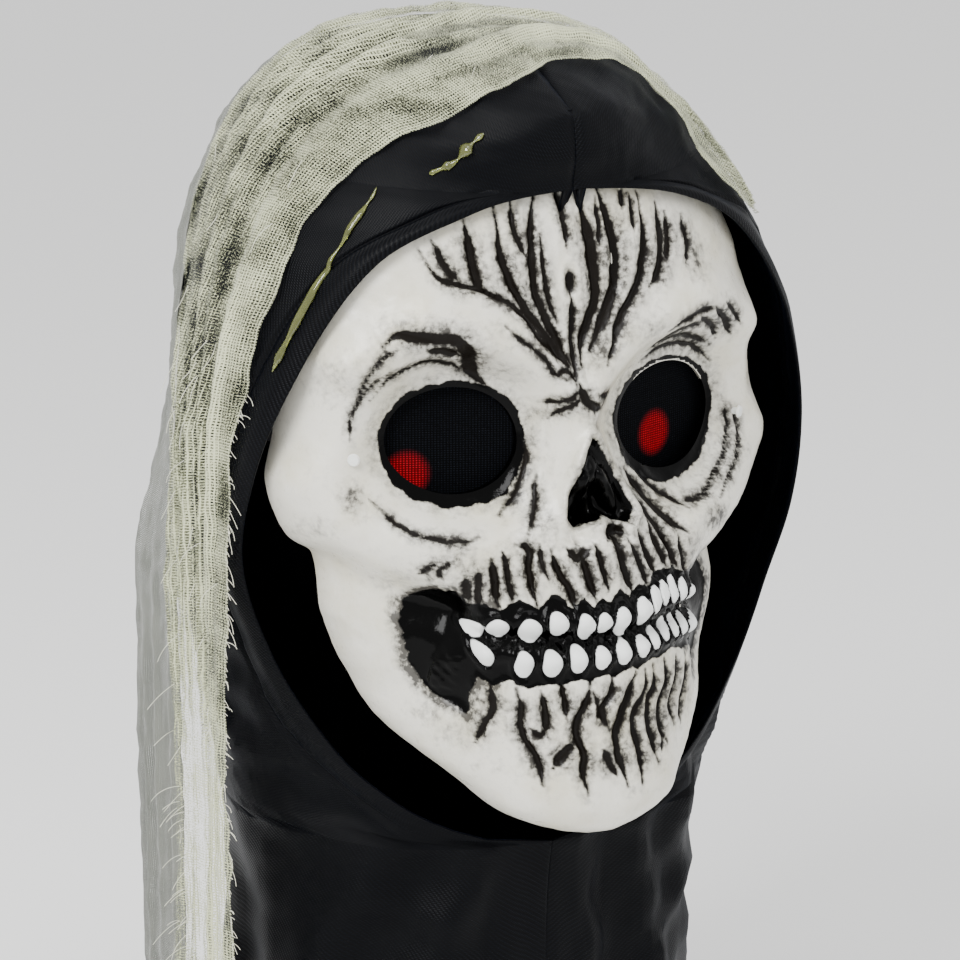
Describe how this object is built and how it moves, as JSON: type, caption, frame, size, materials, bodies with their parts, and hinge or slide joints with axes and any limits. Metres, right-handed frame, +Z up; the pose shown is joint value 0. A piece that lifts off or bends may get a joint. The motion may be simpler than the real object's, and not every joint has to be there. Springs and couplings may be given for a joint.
{
  "type": "hooded skull face mask",
  "caption": "Hooded adult skull face mask: moulded face, see-through light-up eyes, elastic strap, battery case, satin hood and draped gauze.",
  "frame": {"origin": "centre of the wearer's head at eye height, on the mask's middle plane", "axes": "+Z up; the face looks along -Y; +X is the wearer's left"},
  "size_m": [0.2564, 0.2525, 0.4905],
  "materials": {
    "bone_vinyl": "gloss, dark wash in the recesses",
    "eye_knit": "open knit",
    "white_nylon": "satin",
    "black_plastic": "matte",
    "elastic": "woven elastic",
    "led_epoxy": "clear red",
    "lead_pvc": "satin",
    "case_abs": "fine texture",
    "board": "solder mask",
    "button_plastic": "satin",
    "nickel": "bright",
    "black_satin": "satin sheen",
    "gauze": "open cotton weave",
    "grey_gauze": "fine open weave",
    "hot_glue": "translucent gloss",
    "label": "woven"
  },
  "bodies": {
    "mask": {"battery_case": "case_abs", "cell_contact_1": "nickel", "cell_contact_2": "nickel", "circuit_board": "board", "coin_cell_1": "nickel", "coin_cell_2": "nickel", "elastic_strap": "elastic", "eye_mesh_left": "eye_knit", "eye_mesh_right": "eye_knit", "face_hem_left": "black_satin", "face_hem_right": "black_satin", "gauze_drape": "gauze", "gauze_veil": "grey_gauze", "glue_bead_side": "hot_glue", "glue_bead_top": "hot_glue", "hood_panel_left": "black_satin", "hood_panel_right": "black_satin", "led_lead_left": "lead_pvc", "led_lead_right": "lead_pvc", "led_left": "led_epoxy", "led_right": "led_epoxy", "led_sleeve_left": "black_plastic", "led_sleeve_right": "black_plastic", "led_stay_left": "black_plastic", "led_stay_right": "black_plastic", "sewn_label": "label", "skull_shell": "bone_vinyl", "strap_pin_left": "white_nylon", "strap_pin_right": "white_nylon", "strap_washer_left": "black_plastic", "strap_washer_right": "black_plastic", "tact_switch": "black_plastic"},
    "button": {"power_button": "button_plastic"},
    "cover": {"battery_cover": "case_abs", "cell_bridge": "nickel"},
    "screw": {"cover_screw": "nickel"}
  },
  "joints": [
    {"name": "button_press", "type": "slide", "parent": "mask", "child": "button", "axis": [1, 0, 0], "range_m": [0, 0.0012], "stiffness_N_per_m": 900},
    {"name": "cover_lift", "type": "slide", "parent": "mask", "child": "cover", "axis": [0, 0.9063, -0.4226], "range_m": [0, 0.03]},
    {"name": "screw_turn", "type": "hinge", "parent": "cover", "child": "screw", "pos_m": [0.0041, -0.0843, 0.10337], "axis": [0, 0.9063, -0.4226], "continuous": true}
  ]
}
